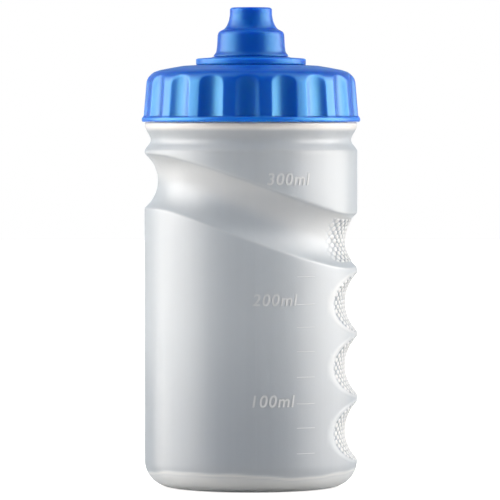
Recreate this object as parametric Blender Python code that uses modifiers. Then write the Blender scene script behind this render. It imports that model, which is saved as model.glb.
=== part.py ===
"""Sports squeeze bottle: a soft blow-moulded body with a finger-grip band, a fluted screw lid
with its sealing ring, and a spout base that carries a pull-up drinking nozzle.

Metres, +Z up. The bottle stands on z = 0 with its axis on Z and its finger pockets towards +X;
-Y is the front. Profiles are (radius, height) pairs in millimetres.
"""

import math

import bmesh
import bpy

MM = 0.001
OBJECT_NAME = "sports_bottle"
BODY_SEGMENTS = 48
LID_SEGMENTS = 54
GASKET_SEGMENTS = 36
SPOUT_SEGMENTS = 36
SMOOTH_ANGLE = math.radians(32)

# Bottle body. Each profile runs down the outer side, so that Screw faces it outwards.
WALL = 1.0
BODY_RADIUS = 33.45
HEEL_RADIUS = 8.2
HEEL_STEPS = 4
NECK_RADIUS = 29.1
NECK_TOP = 127.0
NECK_FOOT = 115.1
NECK_PROFILE = [(NECK_RADIUS - 0.4, NECK_TOP), (NECK_RADIUS, NECK_TOP - 0.4), (NECK_RADIUS, NECK_FOOT)]
SHOULDER_PROFILE = [(29.6, 114.5), (32.4, 114.25), (33.2, 113.8), (33.4, 113.2), (32.9, 112.0)]
WAIST_PROFILE = [(31.9, 110.4), (31.4, 109.1), (31.8, 107.8), (32.75, 106.7), (BODY_RADIUS, 105.6)]
PUSH_UP_PROFILE = [(23.2, 0.0), (22.3, 0.4), (20.6, 1.8), (17.8, 3.2), (11.0, 4.1), (0.0, 4.4)]
CAVITY_OVERRUN = 2.0

# Grip: a band wrapped round the body and three finger pockets under its low end.
# Every groove is cut by a round tube whose path follows the wall.
GROOVE_DEPTH = 4.2
BAND_TUBE = 10.6
POCKET_TUBE = 12.9
GROOVE_SIDES = 20
BAND_POINTS = 48
BAND_HIGH_Z = 96.1
BAND_DROP = 18.6
BAND_DROP_START = 24.0
BAND_DROP_SPAN = 135.0
POCKET_HEIGHTS = [58.0, 38.2, 17.7]
POCKET_HALF_ANGLE = 40.0
POCKET_OVERRUN = 8.0
POCKET_POINTS = 15

# Volume marks, raised on the right of the front: one tick for each 25 ml.
TICK_HEIGHTS = [12.2, 20.1, 27.6, 35.8, 43.7, 51.2, 58.3, 66.8]
TICK_ANGLES = (-65.0, -54.0)
TICK_RADIUS = 0.3
TICK_SIDES = 6
TICK_POINTS = 3

# Screw thread: the same right-handed helix on the neck and, a little lower, in the lid.
THREAD_LEAD = 6.0
THREAD_POINTS = 37
THREAD_SIDES = 8
THREAD_TAPER_POINTS = 3
NECK_THREAD = {"path": 29.2, "ridge": 1.05, "start": 0.0, "height": 117.0}
LID_THREAD = {"path": 30.4, "ridge": 0.95, "start": 90.0, "height": 116.4}
THREAD_TURN = 450.0

# Screw lid.
LID_OUTSIDE = [
    (13.0, 132.4),
    (17.4, 132.4),
    (21.1, 132.2),
    (24.7, 131.6),
    (28.6, 130.85),
    (30.5, 130.2),
    (31.5, 129.4),
    (32.3, 128.5),
    (32.8, 127.3),
    (33.0, 125.0),
    (33.2, 122.6),
    (33.7, 116.7),
    (34.2, 116.1),
    (34.4, 115.6),
    (34.4, 115.0),
    (34.1, 114.6),
]
LID_INSIDE = [
    (31.2, 114.6),
    (30.6, 115.2),
    (30.6, 128.6),
    (27.0, 128.6),
    (26.2, 129.6),
    (22.0, 130.4),
    (13.0, 130.6),
]

# Flutes: round cutters that lean outwards at their feet with the lid's draft.
FLUTES = 18
FLUTE_FIRST = -92.0
FLUTE_RADIUS = 7.6
FLUTE_CENTRE = 39.4
FLUTE_LEAN = math.radians(4.3)
FLUTE_BOTTOM = 116.6
FLUTE_TOP = 133.0
FLUTE_SIDES = 24

# Sealing ring between the neck lip and the lid.
GASKET_RING = [
    (27.6, 128.3),
    (29.9, 128.3),
    (30.2, 128.0),
    (30.2, 127.6),
    (29.9, 127.3),
    (27.6, 127.3),
    (27.3, 127.6),
    (27.3, 128.0),
]

# Spout base: flange on the lid, snap bead under it, chimney with a retaining bead.
SPOUT_RING = [
    (7.2, 142.0),
    (8.45, 142.0),
    (8.75, 141.7),
    (8.75, 141.3),
    (8.2, 140.9),
    (8.2, 135.3),
    (8.6, 134.9),
    (12.0, 134.9),
    (16.6, 134.5),
    (17.1, 134.35),
    (17.26, 134.05),
    (17.26, 133.0),
    (17.0, 132.7),
    (12.7, 132.7),
    (12.7, 130.3),
    (13.3, 130.1),
    (13.3, 129.6),
    (12.7, 129.0),
    (10.5, 129.0),
    (10.5, 132.4),
    (7.2, 133.6),
]
STOPPER_PROFILE = [(0.0, 150.0), (2.0, 149.9), (2.4, 149.4), (2.4, 132.0), (1.6, 130.6), (0.0, 130.2)]
SPOKES = 3
SPOKE_WIDTH = 1.6
SPOKE_START = 0.6
SPOKE_LENGTH = 7.4
SPOKE_Z = (133.8, 136.0)

# Pull-up nozzle: skirt with an inner lip that catches the chimney's bead, and the drinking tip.
NOZZLE_RING = [
    (2.7, 150.2),
    (3.3, 150.5),
    (5.8, 150.5),
    (6.35, 150.3),
    (6.6, 149.9),
    (6.6, 148.2),
    (6.95, 146.3),
    (7.6, 144.75),
    (8.4, 143.7),
    (9.5, 143.2),
    (10.1, 142.8),
    (10.45, 142.0),
    (10.65, 138.4),
    (10.9, 136.5),
    (11.7, 135.5),
    (11.7, 135.2),
    (8.8, 135.2),
    (8.5, 135.5),
    (8.5, 135.9),
    (9.05, 136.3),
    (9.05, 142.3),
    (5.0, 142.3),
    (5.0, 149.2),
    (2.7, 149.2),
]

BLUE = (0.02, 0.13, 0.50)
FROSTED = (0.80, 0.83, 0.86)
SEAL_WHITE = (0.86, 0.86, 0.83)


def clear_scene():
    for obj in list(bpy.data.objects):
        bpy.data.objects.remove(obj, do_unlink=True)


def object_collection():
    collection = bpy.data.collections.new(OBJECT_NAME)
    bpy.context.scene.collection.children.link(collection)
    return collection


def plastic(name, color, roughness, transmission):
    material = bpy.data.materials.new(name)
    material.use_nodes = True
    shader = material.node_tree.nodes["Principled BSDF"]
    shader.inputs["Base Color"].default_value = (*color, 1.0)
    shader.inputs["Roughness"].default_value = roughness
    shader.inputs["Transmission Weight"].default_value = transmission
    return material


def linked(name, data):
    obj = bpy.data.objects.new(name, data)
    bpy.context.scene.collection.objects.link(obj)
    return obj


def settled(obj):
    """The object with its modifiers, or its curve, made into its own mesh."""
    bpy.context.view_layer.update()
    graph = bpy.context.evaluated_depsgraph_get()
    mesh = bpy.data.meshes.new_from_object(obj.evaluated_get(graph), depsgraph=graph)
    result = linked(obj.name, mesh)
    bpy.data.objects.remove(obj, do_unlink=True)
    return result


def turned(name, profile, segments, ring=False):
    """A profile turned round Z. A ring's profile closes on itself."""
    mesh = bpy.data.meshes.new(name)
    points = [(radius * MM, 0.0, height * MM) for radius, height in profile]
    edges = [(i, i + 1) for i in range(len(points) - 1)]
    if ring:
        edges.append((len(points) - 1, 0))
    mesh.from_pydata(points, edges, [])
    obj = linked(name, mesh)
    screw = obj.modifiers.new("turn", "SCREW")
    screw.steps = segments
    screw.render_steps = segments
    screw.use_merge_vertices = True
    screw.merge_threshold = 0.00001
    screw.use_smooth_shade = True
    return settled(obj)


def tube(name, path, radius, sides, taper_points=0, closed=False):
    """A round bar along a path of millimetre points. Its ends can taper to a thin tip."""
    curve = bpy.data.curves.new(name, "CURVE")
    curve.dimensions = "3D"
    curve.twist_mode = "Z_UP"
    curve.bevel_depth = radius * MM
    curve.bevel_resolution = (sides - 4) // 2
    curve.use_fill_caps = True
    spline = curve.splines.new("POLY")
    spline.points.add(len(path) - 1)
    spline.use_cyclic_u = closed
    for i, (point, (x, y, z)) in enumerate(zip(spline.points, path)):
        point.co = (x * MM, y * MM, z * MM, 1.0)
        from_end = min(i, len(path) - 1 - i)
        if from_end < taper_points:
            point.radius = (from_end + 1) / (taper_points + 1)
    obj = settled(linked(name, curve))
    weld_caps(obj.data)
    return obj


def weld_caps(mesh):
    shape = bmesh.new()
    shape.from_mesh(mesh)
    bmesh.ops.remove_doubles(shape, verts=shape.verts, dist=0.000001)
    bmesh.ops.recalc_face_normals(shape, faces=shape.faces)
    shape.to_mesh(mesh)
    shape.free()


def combined(obj, tool, operation):
    """The object after a Boolean with the tool, which is used up."""
    modifier = obj.modifiers.new(operation.lower(), "BOOLEAN")
    modifier.operation = operation
    modifier.solver = "EXACT"
    modifier.object = tool
    result = settled(obj)
    bpy.data.objects.remove(tool, do_unlink=True)
    return result


def around(radius, degrees, height):
    """The point at this radius, azimuth from +X and height, in millimetres."""
    angle = math.radians(degrees)
    return (radius * math.cos(angle), radius * math.sin(angle), height)


def spread(start, stop, count):
    return [start + (stop - start) * i / (count - 1) for i in range(count)]


def smoothstep(value):
    value = min(max(value, 0.0), 1.0)
    return value * value * (3.0 - 2.0 * value)


def body_profile():
    """Down the neck, the shoulder, the waist and the straight wall, then round the heel."""
    heel = []
    for degrees in spread(0.0, 90.0, HEEL_STEPS + 1):
        angle = math.radians(degrees)
        radius = BODY_RADIUS - HEEL_RADIUS * (1.0 - math.cos(angle))
        heel.append((radius, HEEL_RADIUS * (1.0 - math.sin(angle))))
    return NECK_PROFILE + SHOULDER_PROFILE + WAIST_PROFILE + heel + PUSH_UP_PROFILE


def inset(profile, distance):
    """The profile moved inwards by the wall thickness, with mitred corners."""
    moved = []
    for i, (radius, height) in enumerate(profile):
        before = profile[max(i - 1, 0)]
        after = profile[min(i + 1, len(profile) - 1)]
        directions = []
        for (r0, z0), (r1, z1) in ((before, (radius, height)), ((radius, height), after)):
            length = math.hypot(r1 - r0, z1 - z0)
            if length > 0.0:
                directions.append(((r1 - r0) / length, (z1 - z0) / length))
        along_r = sum(r for r, _ in directions)
        along_z = sum(z for _, z in directions)
        length = math.hypot(along_r, along_z)
        mitre = distance * len(directions) / length
        on_axis = radius == 0.0
        new_radius = 0.0 if on_axis else radius + along_z / length * mitre
        moved.append((new_radius, height - along_r / length * mitre))
    return moved


def cavity_profile():
    """The inside of the bottle, carried up past the lip so that the neck stays open."""
    below_lip = inset(body_profile(), WALL)[2:]
    bore = NECK_RADIUS - WALL
    above_lip = NECK_TOP + CAVITY_OVERRUN
    return [(0.0, above_lip), (bore, above_lip), (bore, NECK_FOOT)] + below_lip[1:]


def band_height(azimuth):
    """The band's centre height: high on the -X side, low on the +X side, the same front and back."""
    from_left = 180.0 - abs(azimuth)
    return BAND_HIGH_Z - BAND_DROP * smoothstep((from_left - BAND_DROP_START) / BAND_DROP_SPAN)


def band_path():
    radius = BODY_RADIUS - GROOVE_DEPTH + BAND_TUBE
    step = 360.0 / BAND_POINTS
    azimuths = [-180.0 + step * i for i in range(BAND_POINTS)]
    return [around(radius, azimuth, band_height(azimuth)) for azimuth in azimuths]


def pocket_path(height):
    """Closest to the axis at +X. It draws away until the tube leaves the wall."""
    reach = POCKET_HALF_ANGLE + POCKET_OVERRUN
    path = []
    for azimuth in spread(-reach, reach, POCKET_POINTS):
        depth = GROOVE_DEPTH * (1.0 - (azimuth / POCKET_HALF_ANGLE) ** 2)
        path.append(around(BODY_RADIUS - depth + POCKET_TUBE, azimuth, height))
    return path


def without_grooves(solid, wall):
    """The solid less the band and pockets, which are cut this much deeper."""
    band = tube("band", band_path(), BAND_TUBE + wall, GROOVE_SIDES, closed=True)
    solid = combined(solid, band, "DIFFERENCE")
    for height in POCKET_HEIGHTS:
        pocket = tube("pocket", pocket_path(height), POCKET_TUBE + wall, GROOVE_SIDES)
        solid = combined(solid, pocket, "DIFFERENCE")
    return solid


def thread(path, ridge, start, height):
    points = []
    for turn in spread(0.0, THREAD_TURN, THREAD_POINTS):
        points.append(around(path, start + turn, height + THREAD_LEAD * turn / 360.0))
    return tube("thread", points, ridge, THREAD_SIDES, taper_points=THREAD_TAPER_POINTS)


def tick(height):
    azimuths = spread(*TICK_ANGLES, TICK_POINTS)
    return tube("tick", [around(BODY_RADIUS, a, height) for a in azimuths], TICK_RADIUS, TICK_SIDES)


def bottle_body():
    outside = turned("bottle_body", [(0.0, NECK_TOP)] + body_profile(), BODY_SEGMENTS)
    outside = without_grooves(outside, 0.0)
    outside = combined(outside, thread(**NECK_THREAD), "UNION")
    for height in TICK_HEIGHTS:
        outside = combined(outside, tick(height), "UNION")
    inside = turned("cavity", cavity_profile(), BODY_SEGMENTS)
    inside = without_grooves(inside, WALL)
    return combined(outside, inside, "DIFFERENCE")


def screw_lid():
    lid = turned("screw_lid", LID_OUTSIDE + LID_INSIDE, LID_SEGMENTS, ring=True)
    middle = (FLUTE_BOTTOM + FLUTE_TOP) / 2.0
    for i in range(FLUTES):
        azimuth = FLUTE_FIRST + 360.0 / FLUTES * i
        x, y, z = around(FLUTE_CENTRE, azimuth, middle)
        bpy.ops.mesh.primitive_cylinder_add(
            vertices=FLUTE_SIDES,
            radius=FLUTE_RADIUS * MM,
            depth=(FLUTE_TOP - FLUTE_BOTTOM) * MM,
            location=(x * MM, y * MM, z * MM),
            rotation=(0.0, -FLUTE_LEAN, math.radians(azimuth)),
        )
        lid = combined(lid, bpy.context.active_object, "DIFFERENCE")
    return combined(lid, thread(**LID_THREAD), "UNION")


def lid_gasket():
    return turned("lid_gasket", GASKET_RING, GASKET_SEGMENTS, ring=True)


def spout_base():
    """The flange and chimney, with the stopper pin held on the axis by three spokes."""
    spout = turned("spout_base", SPOUT_RING, SPOUT_SEGMENTS, ring=True)
    pin = turned("stopper", STOPPER_PROFILE, SPOUT_SEGMENTS // 2)
    low, high = SPOKE_Z
    for i in range(SPOKES):
        azimuth = 90.0 + 360.0 / SPOKES * i
        x, y, z = around(SPOKE_START + SPOKE_LENGTH / 2.0, azimuth, (low + high) / 2.0)
        bpy.ops.mesh.primitive_cube_add(
            size=1.0,
            location=(x * MM, y * MM, z * MM),
            rotation=(0.0, 0.0, math.radians(azimuth)),
            scale=(SPOKE_LENGTH * MM, SPOKE_WIDTH * MM, (high - low) * MM),
        )
        pin = combined(pin, bpy.context.active_object, "UNION")
    return combined(spout, pin, "UNION")


def pull_nozzle():
    return turned("pull_nozzle", NOZZLE_RING, SPOUT_SEGMENTS, ring=True)


def publish(obj, name, material, collection):
    """Names the finished piece, gives it its material and moves it to the object's collection."""
    obj.name = name
    obj.data.name = name
    obj.data.materials.clear()
    obj.data.materials.append(material)
    obj.data.shade_smooth()
    obj.data.set_sharp_from_angle(angle=SMOOTH_ANGLE)
    bpy.context.scene.collection.objects.unlink(obj)
    collection.objects.link(obj)


def main():
    clear_scene()
    collection = object_collection()
    blue = plastic("blue_polypropylene", BLUE, 0.25, 0.0)
    frosted = plastic("frosted_polyethylene", FROSTED, 0.45, 0.4)
    seal = plastic("seal_foam", SEAL_WHITE, 0.8, 0.0)
    publish(bottle_body(), "bottle_body", frosted, collection)
    publish(screw_lid(), "screw_lid", blue, collection)
    publish(lid_gasket(), "lid_gasket", seal, collection)
    publish(spout_base(), "spout_base", blue, collection)
    publish(pull_nozzle(), "pull_nozzle", blue, collection)


main()
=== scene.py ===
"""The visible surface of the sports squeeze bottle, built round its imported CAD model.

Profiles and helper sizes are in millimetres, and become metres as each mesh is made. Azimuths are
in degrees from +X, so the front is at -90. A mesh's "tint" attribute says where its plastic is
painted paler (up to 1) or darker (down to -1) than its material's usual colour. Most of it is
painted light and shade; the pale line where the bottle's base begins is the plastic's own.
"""

import math

import bmesh
import bpy
import numpy as np
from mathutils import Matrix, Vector


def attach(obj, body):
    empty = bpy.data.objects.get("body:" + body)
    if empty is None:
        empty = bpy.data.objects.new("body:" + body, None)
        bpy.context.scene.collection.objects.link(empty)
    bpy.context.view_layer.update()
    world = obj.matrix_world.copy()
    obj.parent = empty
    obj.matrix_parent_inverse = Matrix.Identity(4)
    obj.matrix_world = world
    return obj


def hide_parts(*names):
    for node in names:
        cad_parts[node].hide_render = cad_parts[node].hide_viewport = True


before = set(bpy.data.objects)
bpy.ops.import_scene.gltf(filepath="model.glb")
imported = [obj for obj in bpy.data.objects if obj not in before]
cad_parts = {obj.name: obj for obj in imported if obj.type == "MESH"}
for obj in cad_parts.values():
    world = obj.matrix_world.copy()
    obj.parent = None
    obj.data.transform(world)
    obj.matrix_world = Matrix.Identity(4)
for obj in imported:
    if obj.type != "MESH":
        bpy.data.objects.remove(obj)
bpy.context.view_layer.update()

MM = 0.001

# Camera and floor.
CAMERA_AT = (-0.0003, -1.45, 0.1146)
CAMERA_TARGET = (-0.0003, 0.0, 0.0743)
CAMERA_LENS = 332.0
FLOOR_RADIUS = 3.0
FLOOR_COLORS = ((0.86, 0.86, 0.86), (0.89, 0.89, 0.89))
FLOOR_GLOW = 0.45
FLOOR_BOUNCE = (1.0, 0.975, 0.94, 1.0)
FLOOR_BOUNCE_ROUGHNESS = 0.15
WHITE = (1.0, 1.0, 1.0, 1.0)

# Studio light: colour by angle from the front, with soft panels at both sides. Above PANEL_TOP, a
# direction's Z, the strength falls to that of the top.
PANEL_LIGHT = (
    (0.0, (0.003, 0.005, 0.009)),
    (42.0, (0.008, 0.010, 0.014)),
    (68.0, (1.0, 0.95, 0.895)),
    (104.0, (1.0, 0.95, 0.895)),
    (118.0, (0.50, 0.48, 0.46)),
    (134.0, (0.034, 0.036, 0.038)),
    (162.0, (0.054, 0.060, 0.064)),
    (180.0, (0.044, 0.064, 0.092)),
)
PANEL_STRENGTH = 9.0
PANEL_TOP = 0.15
TOP_STRENGTH = 1.8

# Bottle wall.
BODY_RADIUS = 33.45
WALL = 1.0
HEEL_RADIUS = 8.2
HEEL_STEPS = 24
HEEL_BORE_STEPS = 8
WAIST_START = 105.6
GROOVES_TOP = 112.0
GROOVES_FOOT_RADIUS = 28.0
BODY_COLUMNS = 150
BASE_OUTLINE = [
    (0.6, 4.4),
    (11.0, 4.1),
    (17.8, 3.2),
    (20.6, 1.8),
    (22.3, 0.4),
    (23.2, 0.0),
    (25.25, 0.0),
]
WAIST_OUTLINE = [
    (33.45, 105.6),
    (32.75, 106.7),
    (31.8, 107.8),
    (31.4, 109.1),
    (31.9, 110.4),
    (32.9, 112.0),
    (33.4, 113.2),
    (33.35, 114.1),
    (33.0, 114.5),
    (30.2, 114.5),
    (29.3, 114.9),
    (29.1, 115.6),
    (29.1, 126.5),
    (28.7, 127.0),
]
NECK_BORE_OUTLINE = [
    (28.4, 127.0),
    (28.1, 126.7),
    (28.1, 114.4),
    (29.4, 113.5),
    (32.3, 113.2),
    (31.95, 112.3),
    (31.0, 110.8),
    (30.4, 109.1),
    (30.85, 107.6),
    (31.8, 106.4),
    (32.45, 105.6),
]
BASE_BORE_OUTLINE = [
    (25.25, 1.0),
    (23.6, 1.0),
    (22.6, 1.6),
    (21.2, 2.8),
    (18.1, 4.2),
    (11.1, 5.1),
    (0.6, 5.4),
]

# Grip band and finger pockets.
GROOVE_DEPTH = 4.2
BAND_TUBE = 10.6
POCKET_TUBE = 12.9
BAND_HIGH_Z = 96.1
BAND_DROP = 18.6
BAND_DROP_START = 24.0
BAND_DROP_SPAN = 135.0
POCKET_HEIGHTS = (58.0, 38.2, 17.7)
POCKET_HALF_ANGLE = 40.0
GROOVE_EDGE = 0.35

# The mesh crowds its rows this far to each side of the band's edges, up to a highest row, and is cut
# finer on the knurled side.
CROWDED_REACH = 1.0
CROWDED_TOP = 105.3
CROWDED_LEAST = 0.6
FINE_HALF_ANGLE = 42.0
FINE_ROWS_BELOW = 3
FINE_CUTS = 3

# Knurl on the pocket floors and the band's low end: staggered ovals, wider than tall.
KNURL_HEIGHT = 0.45
KNURL_ACROSS = 3.6
KNURL_UP = 2.54
KNURL_HALF_WIDTH = 1.22
KNURL_HALF_HEIGHT = 0.84
KNURL_CROWN = 0.5
KNURL_START_DEPTH = -0.05
KNURL_BAND_START_DEPTH = 1.8
KNURL_FADE_DEPTH = 0.35
KNURL_END_ANGLE = 40.5
KNURL_FADE_ANGLE = 2.0
KNURL_BAND_FADE_ANGLE = 16.0
# Painted highlights on the ovals' crowns and painted shade between them.
KNURL_PAINTED_HIGHLIGHT = 0.75
KNURL_PAINTED_SHADE = -0.75

# Painted light and shade on the wall: painted highlights just outside each groove, painted light on the
# band's upper side, on the base and at the shoulder, and painted shade low on the wall, darker towards the
# bottom. The base begins at a wavy line, where the wall is thicker and paler: how many waves go round,
# their height and the degrees they start at.
CREASE_WIDTH = 1.3
CREASE_START = 0.6
CREASE_RISE = 4.0
CREASE_FALL = 1.5
CREASE_LIFT = 0.1
# Painted highlights just outside the pockets' edges, and fainter ones outside the band's.
CREASE_PAINTED_HIGHLIGHT = 0.3
BAND_CREASE_PAINTED_HIGHLIGHT = 0.12
# Painted light on the band's upper side.
BAND_PAINTED_LIGHT = 0.32
BAND_PAINTED_LIGHT_RISE = 6.0
BASE_LINE_Z = 5.2
BASE_LINE_WAVES = ((3.0, 0.7, 90.0), (7.0, 0.2, 0.0), (17.0, 0.1, 0.0))
BASE_LINE_WIDTH = 0.5
BASE_LINE_PALE = 0.6
# Painted light on the base, and painted shade on the low wall, darker towards the bottom.
BASE_PAINTED_LIGHT = 0.3
LOW_WALL_PAINTED_SHADE = -0.32
LOW_WALL_Z = (8.0, 62.0)
# Painted light on the shoulder, under the lid's rim where its shade falls.
SHOULDER_PAINTED_LIGHT = 1.0
SHOULDER_Z = (111.6, 113.0)
NECK_Z = (115.0, 117.0)

# Parting line of the mould.
SEAM_AZIMUTHS = (-87.8, 92.2)
SEAM_HALF_WIDTH = 0.35
SEAM_HEIGHT = 0.015

# Raised volume marks.
TICK_HEIGHTS = (12.2, 20.1, 27.6, 35.8, 43.7, 51.2, 58.3, 66.8)
TICK_ANGLES = (-65.0, -54.0)
TICK_RADIUS = 0.09
TICK_POINTS = 9
LABELS = (("100ml", -91.0, 28.6), ("200ml", -89.5, 59.8), ("300ml", -82.0, 97.0))
LABEL_SIZE = 5.2
LABEL_HEIGHT = 3.6
LABEL_SPACING = 1.12
LABEL_SLANT = 0.16
LABEL_BOLD = 0.06
LABEL_LIFT = 0.12

# Plastics: the dark, usual and pale colour of each, and how far noise moves between them. The mesh's
# tint moves the colour towards the dark one for painted shade, and towards the pale one for painted light
# and the base's pale line. The frosted one lets no light through at the first of the two shade tints
# below, and its usual share from the second on, which deepens the painted shade between the knurl's ovals.
FROSTED_COLORS = ((0.10, 0.135, 0.195), (0.55, 0.60, 0.652), (0.97, 0.97, 0.96))
FROSTED_IOR = 1.5
BODY_CLEARNESS = 0.58
MARK_CLEARNESS = 0.4
MARK_PALE = 0.16
PAINTED_SHADE_TINTS = (-1.0, -0.5)
BLUE_COLORS = ((0.001, 0.025, 0.22), (0.0012, 0.063, 0.37), (0.02, 0.28, 0.72))
BLUE_IOR = 1.58
BLUE_GLOSS_TINT = (0.26, 0.83, 1.0, 1.0)
BLUE_GLOW = 0.8
BLUE_GLOW_RADIUS = (0.1, 0.35, 1.0)
BLUE_GLOW_SCALE = 0.008
SEAL_COLORS = ((0.78, 0.78, 0.74), (0.88, 0.88, 0.85))
MOTTLE = 0.08
NOISE_SPAN = (0.3, 0.7)

# Thread: a right-handed round ridge on the neck, and one in the lid.
THREAD_LEAD = 6.0
THREAD_TURN = 450.0
THREAD_POINTS = 91
THREAD_TAPER_POINTS = 8
NECK_THREAD = {"radius": 29.2, "ridge": 1.05, "start": 0.0, "height": 117.0}
LID_THREAD = {"radius": 30.4, "ridge": 0.95, "start": 90.0, "height": 116.4}

# Lid. Each flute's columns crowd towards its edges. Flutes are cut outside LID_BORE_CLEAR only.
FLUTES = 18
FLUTE_FIRST = -92.0
FLUTE_RADIUS = 7.6
FLUTE_CENTRE = 39.3
FLUTE_DRAFT = 0.075
FLUTE_DRAFT_FROM = 126.0
FLUTE_BOTTOM = 115.95
FLUTE_RUN_OUT = 0.45
FLUTE_EDGE = 0.22
FLUTE_COLUMNS = (-9.4, -8.6, -8.1, -7.75, -7.5, -7.25, -6.95, -6.5, -5.6, -4.2, -2.8, -1.4, 0.0)
LID_BORE_CLEAR = 30.9
LID_SHARP_ANGLE = math.radians(50)
LID_OUTLINE = [
    (31.2, 114.6),
    (34.1, 114.6),
    (34.33, 115.0),
    (34.33, 115.6),
    (34.1, 116.05),
    (33.72, 116.5),
    (33.2, 122.6),
    (33.0, 125.0),
    (32.8, 127.3),
    (32.3, 128.5),
    (31.5, 129.4),
    (30.5, 130.2),
    (28.6, 130.85),
    (24.7, 131.6),
    (21.1, 132.2),
    (17.4, 132.4),
    (13.0, 132.4),
    (13.0, 130.6),
    (22.0, 130.4),
    (26.2, 129.6),
    (27.0, 128.6),
    (30.6, 128.6),
    (30.6, 115.2),
]

# Painted glow: the lid's rim and the spout's flange are thin, and are painted paler, standing in for light
# shining through them.
EDGE_PAINTED_GLOW = 0.25
EDGE_GLOW_FADE = 0.5

# Spout base and nozzle.
TURNED_SEGMENTS = 144
TURNED_SHARP_ANGLE = math.radians(40)
FLANGE_EDGE_RADIUS = 16.4
SPOUT_OUTLINE = [
    (10.5, 129.0),
    (12.7, 129.0),
    (13.3, 129.6),
    (13.3, 130.1),
    (12.7, 130.3),
    (12.7, 132.5),
    (17.1, 132.5),
    (17.26, 132.7),
    (17.26, 134.05),
    (17.1, 134.35),
    (16.6, 134.5),
    (12.4, 134.8),
    (11.9, 135.05),
    (8.6, 135.05),
    (8.2, 135.3),
    (8.2, 140.9),
    (8.75, 141.3),
    (8.75, 141.7),
    (8.45, 142.0),
    (7.2, 142.0),
    (7.2, 133.6),
    (10.5, 132.4),
]
STOPPER_OUTLINE = [(0.3, 130.2), (1.6, 130.6), (2.4, 132.0), (2.4, 149.4), (2.0, 149.9), (0.3, 150.0)]
SPOKES = 3
SPOKE_FIRST = 90.0
SPOKE_REACH = (1.5, 7.6)
SPOKE_Z = 134.9
SPOKE_RADIUS = 0.8
NOZZLE_OUTLINE = [
    (8.8, 135.15),
    (11.7, 135.15),
    (11.7, 135.5),
    (10.9, 136.5),
    (10.65, 138.4),
    (10.45, 142.0),
    (10.1, 142.8),
    (9.5, 143.2),
    (8.4, 143.7),
    (7.6, 144.75),
    (6.95, 146.3),
    (6.6, 148.2),
    (6.6, 149.9),
    (6.35, 150.3),
    (5.8, 150.5),
    (3.3, 150.5),
    (2.7, 150.2),
    (2.7, 149.2),
    (5.0, 149.2),
    (5.0, 142.3),
    (9.05, 142.3),
    (9.05, 136.3),
    (8.5, 135.9),
    (8.5, 135.5),
]


# ---------------------------------------------------------------- outlines


def rounded(outline, radius, steps=4, closed=True):
    """The outline with each corner replaced by a short curve."""
    points = []
    count = len(outline)
    for i, corner in enumerate(outline):
        if not closed and i in (0, count - 1):
            points.append(corner)
            continue
        corner = Vector(corner)
        to_before = Vector(outline[i - 1]) - corner
        to_after = Vector(outline[(i + 1) % count]) - corner
        reach = min(radius, 0.45 * to_before.length, 0.45 * to_after.length)
        start = corner + to_before.normalized() * reach
        end = corner + to_after.normalized() * reach
        for step in range(steps + 1):
            share = step / steps
            point = start.lerp(corner, share).lerp(corner.lerp(end, share), share)
            points.append((point.x, point.y))
    return points


def refined(outline, longest, closed=True):
    """The outline with its long sides split, so that no side is longer than this."""
    points = []
    count = len(outline)
    for i in range(count if closed else count - 1):
        start = Vector(outline[i])
        end = Vector(outline[(i + 1) % count])
        pieces = max(1, math.ceil((end - start).length / longest))
        for piece in range(pieces):
            point = start.lerp(end, piece / pieces)
            points.append((point.x, point.y))
    if not closed:
        points.append(outline[-1])
    return points


def heel(radius, steps):
    """The quarter round from the standing ring up to the straight wall."""
    points = []
    for step in range(1, steps):
        angle = math.radians(90.0 * step / steps)
        points.append(
            (BODY_RADIUS - HEEL_RADIUS + radius * math.sin(angle), HEEL_RADIUS - radius * math.cos(angle))
        )
    return points


def smooth_run(outline, radius, longest):
    """An open outline with rounded corners and no long sides."""
    return refined(rounded(outline, radius, steps=3, closed=False), longest, closed=False)


def straight_wall(radius, start, end, count):
    return [(radius, start + (end - start) * i / count) for i in range(count)]


def smoothstep(value):
    value = np.clip(value, 0.0, 1.0)
    return value * value * (3.0 - 2.0 * value)


# ---------------------------------------------------------------- meshes


def linked(name, data):
    piece = bpy.data.objects.new(name, data)
    bpy.context.scene.collection.objects.link(piece)
    return piece


def tube_grid(azimuths, row_count, closed):
    """A tube in (azimuth, row) space: unit radius, and one unit of height for each row."""
    shape = bmesh.new()
    angles = [math.radians(azimuth) for azimuth in azimuths]
    rings = [[shape.verts.new((math.cos(a), math.sin(a), row)) for a in angles] for row in range(row_count)]
    pairs = list(zip(rings, rings[1:]))
    if closed:
        pairs.append((rings[-1], rings[0]))
    else:
        shape.faces.new(reversed(rings[0]))
        shape.faces.new(rings[-1])
    for low, high in pairs:
        for i in range(len(angles)):
            j = (i + 1) % len(angles)
            shape.faces.new((low[i], low[j], high[j], high[i]))
    return shape


def placed(name, shape, place):
    """The tube grid made into a piece: place turns azimuths and rows into radii, heights and tint."""
    mesh = bpy.data.meshes.new(name)
    shape.to_mesh(mesh)
    shape.free()
    points = np.empty(len(mesh.vertices) * 3)
    mesh.vertices.foreach_get("co", points)
    points = points.reshape(-1, 3)
    angles = np.arctan2(points[:, 1], points[:, 0])
    radii, heights, tint = place(np.degrees(angles), points[:, 2])
    placed_points = np.stack([radii * np.cos(angles), radii * np.sin(angles), heights], axis=1) * MM
    mesh.vertices.foreach_set("co", placed_points.ravel())
    mesh.attributes.new("tint", "FLOAT", "POINT").data.foreach_set("value", tint.astype(np.float32))
    mesh.update()
    mesh.shade_smooth()
    return linked(name, mesh)


def even_azimuths(count):
    return [-180.0 + 360.0 * i / count for i in range(count)]


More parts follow.
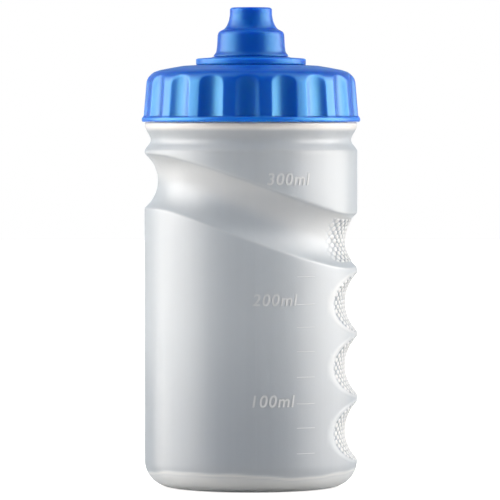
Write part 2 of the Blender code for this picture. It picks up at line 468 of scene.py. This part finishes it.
def turned(name, outline, closed=True, glow_radius=math.inf):
    """A round piece from an outline that runs up its outer side, with painted glow beyond a radius."""
    radii = np.array([radius for radius, _ in outline])
    heights = np.array([height for _, height in outline])
    # Painted glow on the thin edge beyond the radius, standing in for light shining through it.
    tint = EDGE_PAINTED_GLOW * smoothstep((radii - glow_radius) / EDGE_GLOW_FADE)

    def place(azimuths, rows):
        index = np.rint(rows).astype(int)
        return radii[index], heights[index], tint[index]

    piece = placed(name, tube_grid(even_azimuths(TURNED_SEGMENTS), len(outline), closed), place)
    piece.data.set_sharp_from_angle(angle=TURNED_SHARP_ANGLE)
    return piece


def round_bar(name, points, radius, taper=0):
    """A round bar along millimetre points, thinner at its ends if it tapers."""
    curve = bpy.data.curves.new(name, "CURVE")
    curve.dimensions = "3D"
    curve.bevel_depth = radius * MM
    curve.bevel_resolution = 4
    curve.use_fill_caps = True
    spline = curve.splines.new("POLY")
    spline.points.add(len(points) - 1)
    for i, (point, (x, y, z)) in enumerate(zip(spline.points, points)):
        point.co = (x * MM, y * MM, z * MM, 1.0)
        from_end = min(i, len(points) - 1 - i)
        if from_end < taper:
            point.radius = (from_end + 1) / (taper + 1)
    spline.use_smooth = True
    return linked(name, curve)


def around(radius, degrees, height):
    angle = math.radians(degrees)
    return (radius * math.cos(angle), radius * math.sin(angle), height)


# ---------------------------------------------------------------- bottle wall


def band_centre(azimuths):
    from_left = 180.0 - np.abs(azimuths)
    return BAND_HIGH_Z - BAND_DROP * smoothstep((from_left - BAND_DROP_START) / BAND_DROP_SPAN)


def band_slope_cosine(azimuths):
    """The cosine of the band's slope on the unrolled wall."""
    step = 0.5
    rise = band_centre(np.abs(azimuths) + step) - band_centre(np.abs(azimuths) - step)
    run = math.radians(2.0 * step) * BODY_RADIUS
    return 1.0 / np.sqrt(1.0 + (rise / run) ** 2)


def tube_depth(offset, tube, depth):
    """How far a round groove goes in at this distance from its centre line. Outside it, it's negative."""
    inside = np.clip(tube**2 - offset**2, 0.0, None)
    return np.sqrt(inside) - tube + depth


def band_depth(azimuths, heights):
    offset = (heights - band_centre(azimuths)) * band_slope_cosine(azimuths)
    return tube_depth(offset, BAND_TUBE, GROOVE_DEPTH)


def pocket_depth(azimuths, heights):
    floor = GROOVE_DEPTH * (1.0 - (azimuths / POCKET_HALF_ANGLE) ** 2)
    return np.maximum.reduce([tube_depth(heights - height, POCKET_TUBE, floor) for height in POCKET_HEIGHTS])


def rounded_depth(depth):
    """A groove's depth with softly rounded edges, and nothing outside it."""
    return 0.5 * (depth + np.sqrt(depth**2 + GROOVE_EDGE**2))


def knurl_reach(azimuths, band, pocket):
    """1 where the floor is knurled, which is in the pockets and down the middle of the band's low end."""
    near = KNURL_END_ANGLE - np.abs(azimuths)
    in_band = smoothstep((band - KNURL_BAND_START_DEPTH) / KNURL_FADE_DEPTH)
    in_pocket = smoothstep((pocket - KNURL_START_DEPTH) / KNURL_FADE_DEPTH)
    in_band *= smoothstep(near / KNURL_BAND_FADE_ANGLE)
    in_pocket *= smoothstep(near / KNURL_FADE_ANGLE)
    return np.maximum(in_band, in_pocket)


def knurl(azimuths, heights):
    """The staggered ovals: 1 on their crowns and 0 between them."""
    along = np.radians(azimuths) * BODY_RADIUS
    crown = np.zeros_like(along)
    for stagger in (0.0, 0.5):
        across = along / KNURL_ACROSS + stagger
        up = heights / KNURL_UP + stagger
        across = (across - np.rint(across)) * KNURL_ACROSS / KNURL_HALF_WIDTH
        up = (up - np.rint(up)) * KNURL_UP / KNURL_HALF_HEIGHT
        crown = np.maximum(crown, 1.0 - across**2 - up**2)
    return smoothstep(crown / KNURL_CROWN)


def crease(depth):
    """1 along the outside of a groove's edge, fading over the crease's width."""
    outside = -depth / CREASE_WIDTH
    return smoothstep(outside * CREASE_RISE + CREASE_START) * smoothstep((1.0 - outside) * CREASE_FALL)


def base_line(azimuths):
    """The height of the wavy line where the pinched, thicker base begins."""
    line = np.full_like(azimuths, BASE_LINE_Z)
    for count, height, start in BASE_LINE_WAVES:
        line += height * np.sin(np.radians(count * azimuths + start))
    return line


def base_line_painted_light_and_shade(azimuths, heights):
    """The base's pale line, painted light on the base under it, and painted shade on the wall that rises
    from it, darker towards the bottom.
    """
    below = base_line(azimuths) - heights
    line = np.exp(-((below / BASE_LINE_WIDTH) ** 2))
    low, high = LOW_WALL_Z
    # Painted shade, darker towards the bottom of the wall.
    dark = LOW_WALL_PAINTED_SHADE * (1.0 - smoothstep((heights - low) / (high - low)))
    # Painted light on the base under the line.
    under_line = smoothstep(below / (2.0 * BASE_LINE_WIDTH))
    return np.maximum(BASE_LINE_PALE * line, BASE_PAINTED_LIGHT * under_line) + dark * (1.0 - under_line) * (1.0 - line)


def band_painted_light(azimuths, heights, band):
    """Painted light on the band's upper side, which faces down, standing in for light from below."""
    upper = smoothstep((heights - band_centre(azimuths)) / BAND_PAINTED_LIGHT_RISE + 0.5)
    return BAND_PAINTED_LIGHT * upper * smoothstep(band)


def shoulder_painted_light(heights):
    """Painted light on the shoulder, under the lid's rim where its shade falls, fading out on the neck above
    it.
    """
    start, whole = SHOULDER_Z
    fading, gone = NECK_Z
    rise = smoothstep((heights - start) / (whole - start))
    fall = smoothstep((heights - fading) / (gone - fading))
    return SHOULDER_PAINTED_LIGHT * (rise - fall)


def wall_tint(azimuths, heights, band, pocket, ovals, knurled):
    """Painted highlights by the creases, painted light on the band, shoulder and base, painted shade low on
    the wall and the base's pale line, with the knurl's painted highlights and shade over them.
    """
    # Painted highlights just outside the grooves' edges.
    tint = np.maximum(CREASE_PAINTED_HIGHLIGHT * crease(pocket), BAND_CREASE_PAINTED_HIGHLIGHT * crease(np.maximum(band, pocket)))
    tint += band_painted_light(azimuths, heights, band) + shoulder_painted_light(heights)
    tint += base_line_painted_light_and_shade(azimuths, heights) * (1.0 - tint)
    # Painted highlights on the knurl's ovals and painted shade between them, over all the rest.
    tint += (KNURL_PAINTED_SHADE + (KNURL_PAINTED_HIGHLIGHT - KNURL_PAINTED_SHADE) * ovals - tint) * knurled
    return tint


def seam(azimuths):
    """The height of the mould's parting lines."""
    height = np.zeros_like(azimuths)
    for seam_azimuth in SEAM_AZIMUTHS:
        away = np.abs(azimuths - seam_azimuth) / SEAM_HALF_WIDTH
        height += SEAM_HEIGHT * np.clip(1.0 - away, 0.0, None)
    return height


class WallRows:
    """The bottle's outline as rows: base, heel, wall, neck, lip, then back down the inside.

    The wall's rows follow the band, and crowd along its two edges.
    """

    OUTER_COUNTS = (56, 6, 18, 6, 14)
    INNER_COUNTS = (20, 2, 10, 2, 4)

    def __init__(self):
        outline = smooth_run(BASE_OUTLINE, radius=2.0, longest=1.5)
        outline += heel(HEEL_RADIUS, HEEL_STEPS)
        self.outer_start = len(outline)
        outline += straight_wall(BODY_RADIUS, HEEL_RADIUS, WAIST_START, sum(self.OUTER_COUNTS))
        outline += smooth_run(WAIST_OUTLINE, radius=0.9, longest=0.7)
        outline += smooth_run(NECK_BORE_OUTLINE, radius=0.9, longest=2.0)
        self.inner_start = len(outline)
        self.detail_end = self.inner_start - len(NECK_BORE_OUTLINE)
        outline += straight_wall(BODY_RADIUS - WALL, WAIST_START, HEEL_RADIUS, sum(self.INNER_COUNTS))
        outline += heel(HEEL_RADIUS - WALL, HEEL_BORE_STEPS)[::-1]
        outline += refined(BASE_BORE_OUTLINE, longest=4.0, closed=False)
        self.radii = np.array([radius for radius, _ in outline])
        self.heights = np.array([height for _, height in outline])

    def stations(self, azimuths):
        """The heights that the wall's row groups run between, at each azimuth."""
        centre = band_centre(azimuths)
        half = math.sqrt(BAND_TUBE**2 - (BAND_TUBE - GROOVE_DEPTH) ** 2) / band_slope_cosine(azimuths)
        return [
            np.full_like(azimuths, HEEL_RADIUS),
            centre - half - CROWDED_REACH,
            centre - half + CROWDED_REACH,
            np.minimum(centre + half - CROWDED_REACH, CROWDED_TOP - CROWDED_LEAST),
            np.minimum(centre + half + CROWDED_REACH, CROWDED_TOP),
            np.full_like(azimuths, WAIST_START),
        ]

    def wall_heights(self, azimuths, rows, start, counts, downwards):
        """The heights of the straight wall's rows, which start at one row, and NaN on all others."""
        heights = np.full_like(rows, np.nan)
        stations = self.stations(azimuths)
        counts = list(counts)
        if downwards:
            stations = stations[::-1]
            counts = counts[::-1]
        row = float(start)
        for low, high, count in zip(stations, stations[1:], counts):
            inside = (rows >= row - 1e-4) & (rows <= row + count + 1e-4)
            share = (rows - row) / count
            heights = np.where(inside, low + (high - low) * share, heights)
            row += count
        return heights

    def plain(self, azimuths, rows):
        """The wall's radii and heights before its grooves."""
        index = np.arange(len(self.radii))
        radii = np.interp(rows, index, self.radii)
        heights = np.interp(rows, index, self.heights)
        outer_end = self.outer_start + sum(self.OUTER_COUNTS)
        inner_end = self.inner_start + sum(self.INNER_COUNTS)
        outer = self.wall_heights(azimuths, rows, self.outer_start, self.OUTER_COUNTS, downwards=False)
        inner = self.wall_heights(azimuths, rows, self.inner_start, self.INNER_COUNTS, downwards=True)
        heights = np.where((rows >= self.outer_start) & (rows <= outer_end), outer, heights)
        heights = np.where((rows >= self.inner_start) & (rows <= inner_end), inner, heights)
        return radii, heights

    def place(self, azimuths, rows):
        """The finished wall, with fine relief and tint on its outer side and just over its lip."""
        radii, heights = self.plain(azimuths, rows)
        band = band_depth(azimuths, heights)
        pocket = pocket_depth(azimuths, heights)
        ovals = knurl(azimuths, heights)
        knurled = knurl_reach(azimuths, band, pocket)
        relief = KNURL_HEIGHT * ovals * knurled + CREASE_LIFT * crease(pocket) + seam(azimuths)
        detailed = rows < self.detail_end
        grooved = (heights < GROOVES_TOP) & (radii > GROOVES_FOOT_RADIUS)
        depth = rounded_depth(np.maximum(band, pocket)) - np.where(detailed, relief, 0.0)
        tint = wall_tint(azimuths, heights, band, pocket, ovals, knurled)
        return radii - np.where(grooved, depth, 0.0), heights, np.where(detailed, tint, 0.0)


def bottle_azimuths():
    """Even columns, with three more on each parting line."""
    azimuths = set(even_azimuths(BODY_COLUMNS))
    for seam_azimuth in SEAM_AZIMUTHS:
        for offset in (-SEAM_HALF_WIDTH, 0.0, SEAM_HALF_WIDTH):
            azimuths.add(seam_azimuth + offset)
    return sorted(azimuths)


def bottle_skin():
    """The whole bottle wall, with finer faces over the knurl."""
    wall = WallRows()
    shape = tube_grid(bottle_azimuths(), len(wall.radii), closed=False)
    first = wall.outer_start - FINE_ROWS_BELOW
    last = wall.outer_start + sum(wall.OUTER_COUNTS[:-1])
    edges = set()
    for face in shape.faces:
        middle = face.calc_center_median()
        azimuth = abs(math.degrees(math.atan2(middle.y, middle.x)))
        if azimuth < FINE_HALF_ANGLE and first < middle.z < last and len(face.verts) == 4:
            edges.update(face.edges)
    bmesh.ops.subdivide_edges(shape, edges=list(edges), cuts=FINE_CUTS, use_grid_fill=True)
    return placed("bottle_skin", shape, wall.place)


# ---------------------------------------------------------------- marks and thread


def wrapped(mesh, azimuth, height):
    """Lays a flat mesh on the bottle: x runs along the wall, y up it and z out from it."""
    for vertex in mesh.vertices:
        x, y, z = vertex.co / MM
        degrees = azimuth + math.degrees(x / BODY_RADIUS)
        depth = rounded_depth(band_depth(degrees, height + y))
        vertex.co = Vector(around(BODY_RADIUS - depth + z, degrees, height + y)) * MM


def label(text, azimuth, height):
    """A raised volume mark that starts at an azimuth, centred on a height."""
    font = bpy.data.curves.new("label_" + text, "FONT")
    font.body = text
    font.size = LABEL_SIZE * MM
    font.space_character = LABEL_SPACING
    font.shear = LABEL_SLANT
    font.extrude = LABEL_LIFT * MM
    font.offset = LABEL_BOLD * MM
    flat = linked("flat_" + text, font)
    bpy.context.view_layer.update()
    graph = bpy.context.evaluated_depsgraph_get()
    mesh = bpy.data.meshes.new_from_object(flat.evaluated_get(graph), depsgraph=graph)
    bpy.data.objects.remove(flat)
    wrapped(mesh, azimuth, height - LABEL_HEIGHT / 2.0)
    return linked("label_" + text, mesh)


def tick(height):
    azimuths = np.linspace(*TICK_ANGLES, TICK_POINTS)
    points = [around(BODY_RADIUS, azimuth, height) for azimuth in azimuths]
    return round_bar("tick_%03d" % round(height), points, TICK_RADIUS)


def thread(name, radius, ridge, start, height):
    """A helix that starts at an azimuth and a height, with its ridge tapered at both ends."""
    points = []
    for turn in np.linspace(0.0, THREAD_TURN, THREAD_POINTS):
        points.append(around(radius, start + turn, height + THREAD_LEAD * turn / 360.0))
    return round_bar(name, points, ridge, taper=THREAD_TAPER_POINTS)


# ---------------------------------------------------------------- lid and spout


def flute_azimuths():
    """The lid's columns, the same round each flute."""
    half = list(FLUTE_COLUMNS)
    pattern = half + [-offset for offset in reversed(half[:-1])]
    azimuths = []
    for i in range(FLUTES):
        centre = FLUTE_FIRST + 360.0 / FLUTES * i
        azimuths += [centre + offset for offset in pattern]
    return azimuths


def fluted(azimuths, radii, heights):
    """The lid's radius where the flutes' round cutters pass, with softly rounded edges."""
    pitch = 360.0 / FLUTES
    offset = np.radians((azimuths - FLUTE_FIRST + pitch / 2.0) % pitch - pitch / 2.0)
    centre = FLUTE_CENTRE + FLUTE_DRAFT * np.clip(FLUTE_DRAFT_FROM - heights, 0.0, None)
    inside = np.clip(FLUTE_RADIUS**2 - (centre * np.sin(offset)) ** 2, 0.0, None)
    cutter = centre * np.cos(offset) - np.sqrt(inside)
    over = radii - cutter
    cut = 0.5 * (over + np.sqrt(over**2 + FLUTE_EDGE**2))
    above_rim = smoothstep((heights - FLUTE_BOTTOM) / FLUTE_RUN_OUT)
    return radii - cut * above_rim


def lid_shell():
    outline = refined(rounded(LID_OUTLINE, radius=0.45, steps=3), longest=1.0)
    radii = np.array([radius for radius, _ in outline])
    heights = np.array([height for _, height in outline])

    def place(azimuths, rows):
        index = np.rint(rows).astype(int)
        radius = radii[index]
        height = heights[index]
        # Painted glow on the rim below the flutes, standing in for light shining through its thin edge.
        tint = EDGE_PAINTED_GLOW * (1.0 - smoothstep((height - FLUTE_BOTTOM) / EDGE_GLOW_FADE))
        return np.where(radius > LID_BORE_CLEAR, fluted(azimuths, radius, height), radius), height, tint

    piece = placed("lid_shell", tube_grid(flute_azimuths(), len(outline), closed=True), place)
    piece.data.set_sharp_from_angle(angle=LID_SHARP_ANGLE)
    return piece


def spout_flange():
    outline = refined(rounded(SPOUT_OUTLINE, radius=0.25, steps=3), longest=2.0)
    return turned("spout_flange", outline, glow_radius=FLANGE_EDGE_RADIUS)


def stopper_parts():
    """The pin that closes the nozzle, and the spokes that hold it in the chimney."""
    outline = rounded(STOPPER_OUTLINE, radius=0.3, steps=3, closed=False)
    parts = [turned("stopper_pin", outline, closed=False)]
    for i in range(SPOKES):
        azimuth = SPOKE_FIRST + 360.0 / SPOKES * i
        points = [around(radius, azimuth, SPOKE_Z) for radius in SPOKE_REACH]
        parts.append(round_bar("stopper_spoke_%d" % (i + 1), points, SPOKE_RADIUS))
    return parts


def drinking_nozzle():
    return turned("drinking_nozzle", refined(rounded(NOZZLE_OUTLINE, radius=0.5), longest=1.5))


# ---------------------------------------------------------------- materials


def new_material(name):
    material = bpy.data.materials.new(name)
    material.use_nodes = True
    return material, material.node_tree.nodes, material.node_tree.links


def noise(nodes, links, scale, detail, stretch=(1.0, 1.0, 1.0)):
    """Noise in the object's own coordinates."""
    coordinates = nodes.new("ShaderNodeTexCoord")
    mapping = nodes.new("ShaderNodeMapping")
    mapping.inputs["Scale"].default_value = stretch
    texture = nodes.new("ShaderNodeTexNoise")
    texture.inputs["Scale"].default_value = scale
    texture.inputs["Detail"].default_value = detail
    links.new(coordinates.outputs["Object"], mapping.inputs["Vector"])
    links.new(mapping.outputs["Vector"], texture.inputs["Vector"])
    return texture.outputs["Fac"]


def mesh_tint(nodes):
    tint = nodes.new("ShaderNodeAttribute")
    tint.attribute_name = "tint"
    return tint.outputs["Fac"]


def mapped(nodes, links, source, span, result, interpolation="SMOOTHSTEP"):
    """A value's span mapped onto the two ends of a result, and held there beyond them."""
    node = nodes.new("ShaderNodeMapRange")
    node.interpolation_type = interpolation
    node.inputs["From Min"].default_value, node.inputs["From Max"].default_value = span
    node.inputs["To Min"].default_value, node.inputs["To Max"].default_value = result
    links.new(source, node.inputs["Value"])
    return node.outputs["Result"]


def varied_color(nodes, links, source, colors, socket):
    """Two colours that noise moves between."""
    ramp = nodes.new("ShaderNodeValToRGB")
    for element, position, color in zip(ramp.color_ramp.elements, NOISE_SPAN, colors):
        element.position = position
        element.color = (*color, 1.0)
    links.new(source, ramp.inputs["Fac"])
    links.new(ramp.outputs["Color"], socket)


def varied_value(nodes, links, source, low, high, socket):
    """A value that noise moves between two ends."""
    links.new(mapped(nodes, links, source, NOISE_SPAN, (low, high)), socket)


def weighted(nodes, links, source, weight, offset):
    """source * weight + offset, where offset is a number or another node's output."""
    node = nodes.new("ShaderNodeMath")
    node.operation = "MULTIPLY_ADD"
    node.inputs[1].default_value = weight
    links.new(source, node.inputs[0])
    if isinstance(offset, float):
        node.inputs[2].default_value = offset
    else:
        links.new(offset, node.inputs[2])
    return node.outputs["Value"]


def tinted_color(nodes, links, mottle, colors, lift, socket):
    """The dark, usual and pale colours, chosen by the mesh's tint, which is mostly painted light and shade,
    with a little mottle.
    """
    level = weighted(nodes, links, mesh_tint(nodes), 0.5, 0.5 + lift - MOTTLE / 2.0)
    level = weighted(nodes, links, mottle, MOTTLE, level)
    ramp = nodes.new("ShaderNodeValToRGB")
    ramp.color_ramp.elements.new(0.5)
    for element, color in zip(ramp.color_ramp.elements, colors):
        element.color = (*color, 1.0)
    links.new(level, ramp.inputs["Fac"])
    links.new(ramp.outputs["Color"], socket)


def bumped(nodes, links, source, distance, strength, shader):
    bump = nodes.new("ShaderNodeBump")
    bump.inputs["Strength"].default_value = strength
    bump.inputs["Distance"].default_value = distance
    links.new(source, bump.inputs["Height"])
    links.new(bump.outputs["Normal"], shader.inputs["Normal"])


def frosted_plastic(name, lift, clearness):
    """Satin translucent polyethylene with faint die lines up the wall and a fine grain."""
    material, nodes, links = new_material(name)
    shader = nodes["Principled BSDF"]
    shader.inputs["IOR"].default_value = FROSTED_IOR
    cloud = noise(nodes, links, scale=45.0, detail=3.0, stretch=(1.0, 1.0, 0.35))
    die_lines = noise(nodes, links, scale=420.0, detail=2.0, stretch=(1.0, 1.0, 0.02))
    grain = noise(nodes, links, scale=1800.0, detail=2.0)
    mottle = weighted(nodes, links, cloud, 0.5, weighted(nodes, links, die_lines, 0.5, 0.0))
    # Less light goes through where the tint paints the deepest shade, between the knurl's ovals.
    clear = mapped(nodes, links, mesh_tint(nodes), PAINTED_SHADE_TINTS, (0.0, clearness), "LINEAR")
    tinted_color(nodes, links, mottle, FROSTED_COLORS, lift, shader.inputs["Base Color"])
    varied_value(nodes, links, cloud, 0.32, 0.38, shader.inputs["Roughness"])
    links.new(clear, shader.inputs["Transmission Weight"])
    bumped(nodes, links, grain, distance=0.00004, strength=0.35, shader=shader)
    return material


def glossy_blue(name, grain_scale, shine):
    """Moulded polypropylene: a deep glowing blue with a faint flow pattern and orange peel."""
    material, nodes, links = new_material(name)
    shader = nodes["Principled BSDF"]
    shader.inputs["IOR"].default_value = BLUE_IOR
    shader.inputs["Specular IOR Level"].default_value = shine
    shader.inputs["Specular Tint"].default_value = BLUE_GLOSS_TINT
    shader.inputs["Subsurface Weight"].default_value = BLUE_GLOW
    shader.inputs["Subsurface Radius"].default_value = BLUE_GLOW_RADIUS
    shader.inputs["Subsurface Scale"].default_value = BLUE_GLOW_SCALE
    flow = noise(nodes, links, scale=60.0, detail=3.0, stretch=(1.0, 1.0, 0.5))
    peel = noise(nodes, links, scale=grain_scale, detail=2.0)
    tinted_color(nodes, links, flow, BLUE_COLORS, -MOTTLE / 2.0, shader.inputs["Base Color"])
    varied_value(nodes, links, flow, 0.30, 0.36, shader.inputs["Roughness"])
    bumped(nodes, links, peel, distance=0.00001, strength=0.25, shader=shader)
    return material


def seal_foam():
    """Pale matt foam with fine cells."""
    material, nodes, links = new_material("seal_foam")
    shader = nodes["Principled BSDF"]
    cells = noise(nodes, links, scale=2500.0, detail=3.0)
    varied_color(nodes, links, cells, SEAL_COLORS, shader.inputs["Base Color"])
    varied_value(nodes, links, cells, 0.7, 0.9, shader.inputs["Roughness"])
    bumped(nodes, links, cells, distance=0.0001, strength=0.5, shader=shader)
    return material


def split_by_camera(nodes, links, bounced, seen, output):
    """One look for what the camera sees, and another for all the light that bounces."""
    path = nodes.new("ShaderNodeLightPath")
    mix = nodes.new("ShaderNodeMixShader")
    links.new(path.outputs["Is Camera Ray"], mix.inputs["Fac"])
    links.new(bounced, mix.inputs[1])
    links.new(seen, mix.inputs[2])
    links.new(mix.outputs["Shader"], output.inputs["Surface"])


def pale_floor():
    """Near white to the eye, and a satin sheet to bounced light, which mirrors the panels upwards."""
    material, nodes, links = new_material("pale_floor")
    shader = nodes["Principled BSDF"]
    patches = noise(nodes, links, scale=3.0, detail=2.0)
    varied_color(nodes, links, patches, FLOOR_COLORS, shader.inputs["Base Color"])
    shader.inputs["Roughness"].default_value = 0.7
    shader.inputs["Specular IOR Level"].default_value = 0.0
    shader.inputs["Emission Color"].default_value = WHITE
    shader.inputs["Emission Strength"].default_value = FLOOR_GLOW
    bounce = nodes.new("ShaderNodeBsdfAnisotropic")
    bounce.inputs["Roughness"].default_value = FLOOR_BOUNCE_ROUGHNESS
    bounce.inputs["Color"].default_value = FLOOR_BOUNCE
    output = nodes["Material Output"]
    split_by_camera(nodes, links, bounce.outputs["BSDF"], shader.outputs["BSDF"], output)
    return material


def dress(piece, material, body):
    """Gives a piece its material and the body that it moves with."""
    piece.data.materials.clear()
    piece.data.materials.append(material)
    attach(piece, body)


# ---------------------------------------------------------------- stage


def add_floor():
    bpy.ops.mesh.primitive_circle_add(vertices=96, radius=FLOOR_RADIUS, fill_type="NGON")
    floor = bpy.context.active_object
    floor.name = "floor"
    floor.data.materials.append(pale_floor())


def panel_color(nodes, links, direction):
    """The panels' colour by a direction's angle from the front, whatever its height."""
    level = nodes.new("ShaderNodeVectorMath")
    level.operation = "MULTIPLY"
    level.inputs[1].default_value = (1.0, 1.0, 0.0)
    unit = nodes.new("ShaderNodeVectorMath")
    unit.operation = "NORMALIZE"
    split = nodes.new("ShaderNodeSeparateXYZ")
    links.new(direction, level.inputs[0])
    links.new(level.outputs["Vector"], unit.inputs[0])
    links.new(unit.outputs["Vector"], split.inputs["Vector"])
    panels = nodes.new("ShaderNodeValToRGB")
    ramp = panels.color_ramp
    ramp.interpolation = "EASE"
    while len(ramp.elements) < len(PANEL_LIGHT):
        ramp.elements.new(0.5)
    for element, (degrees, color) in zip(ramp.elements, PANEL_LIGHT):
        element.position = (1.0 - math.cos(math.radians(degrees))) / 2.0
        element.color = (*color, 1.0)
    share = mapped(nodes, links, split.outputs["Y"], (-1.0, 1.0), (0.0, 1.0), "LINEAR")
    links.new(share, panels.inputs["Fac"])
    return panels.outputs["Color"]


def panel_strength(nodes, links, direction):
    """Full strength near the horizon and below it, falling to the top's."""
    split = nodes.new("ShaderNodeSeparateXYZ")
    links.new(direction, split.inputs["Vector"])
    return mapped(nodes, links, split.outputs["Z"], (PANEL_TOP, 1.0), (PANEL_STRENGTH, TOP_STRENGTH))


def add_studio_light():
    """Light by direction: wide soft panels at both sides, running behind, and a dim front and top.

    The camera itself sees plain white behind the object.
    """
    world = bpy.data.worlds.new("studio")
    bpy.context.scene.world = world
    world.use_nodes = True
    nodes, links = world.node_tree.nodes, world.node_tree.links
    direction = nodes.new("ShaderNodeTexCoord").outputs["Generated"]
    panels = nodes["Background"]
    links.new(panel_color(nodes, links, direction), panels.inputs["Color"])
    links.new(panel_strength(nodes, links, direction), panels.inputs["Strength"])
    seen = nodes.new("ShaderNodeBackground")
    seen.inputs["Color"].default_value = WHITE
    output = nodes["World Output"]
    split_by_camera(nodes, links, panels.outputs["Background"], seen.outputs["Background"], output)


def add_camera():
    camera = bpy.data.cameras.new("camera")
    camera.lens = CAMERA_LENS
    camera.clip_end = 20.0
    holder = linked("camera", camera)
    holder.location = CAMERA_AT
    holder.rotation_euler = (Vector(CAMERA_TARGET) - Vector(CAMERA_AT)).to_track_quat("-Z", "Y").to_euler()
    bpy.context.scene.camera = holder


# ---------------------------------------------------------------- assembly


def build_bottle():
    frosted = frosted_plastic("frosted_polyethylene", lift=0.0, clearness=BODY_CLEARNESS)
    mark = frosted_plastic("frosted_mark", lift=MARK_PALE, clearness=MARK_CLEARNESS)
    skin = bottle_skin()
    dress(skin, frosted, "bottle")
    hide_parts("bottle_body")
    dress(thread("neck_thread", **NECK_THREAD), frosted, "bottle")
    for text, azimuth, height in LABELS:
        dress(label(text, azimuth, height), mark, "bottle")
    for height in TICK_HEIGHTS:
        dress(tick(height), mark, "bottle")


def build_lid():
    blue = glossy_blue("blue_polypropylene_lid", grain_scale=1500.0, shine=0.7)
    lid = lid_shell()
    dress(lid, blue, "lid")
    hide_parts("screw_lid")
    dress(thread("lid_thread", **LID_THREAD), blue, "lid")


def build_spout():
    blue = glossy_blue("blue_polypropylene_spout", grain_scale=1900.0, shine=0.42)
    spout = spout_flange()
    dress(spout, blue, "lid")
    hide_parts("spout_base")
    for part in stopper_parts():
        dress(part, blue, "lid")
    nozzle = drinking_nozzle()
    dress(nozzle, blue, "nozzle")
    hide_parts("pull_nozzle")


def finish_seal():
    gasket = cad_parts["lid_gasket"]
    gasket.data.materials.clear()
    gasket.data.materials.append(seal_foam())


add_camera()
build_bottle()
build_lid()
build_spout()
finish_seal()
add_floor()
add_studio_light()
bpy.context.scene.view_settings.view_transform = "Standard"
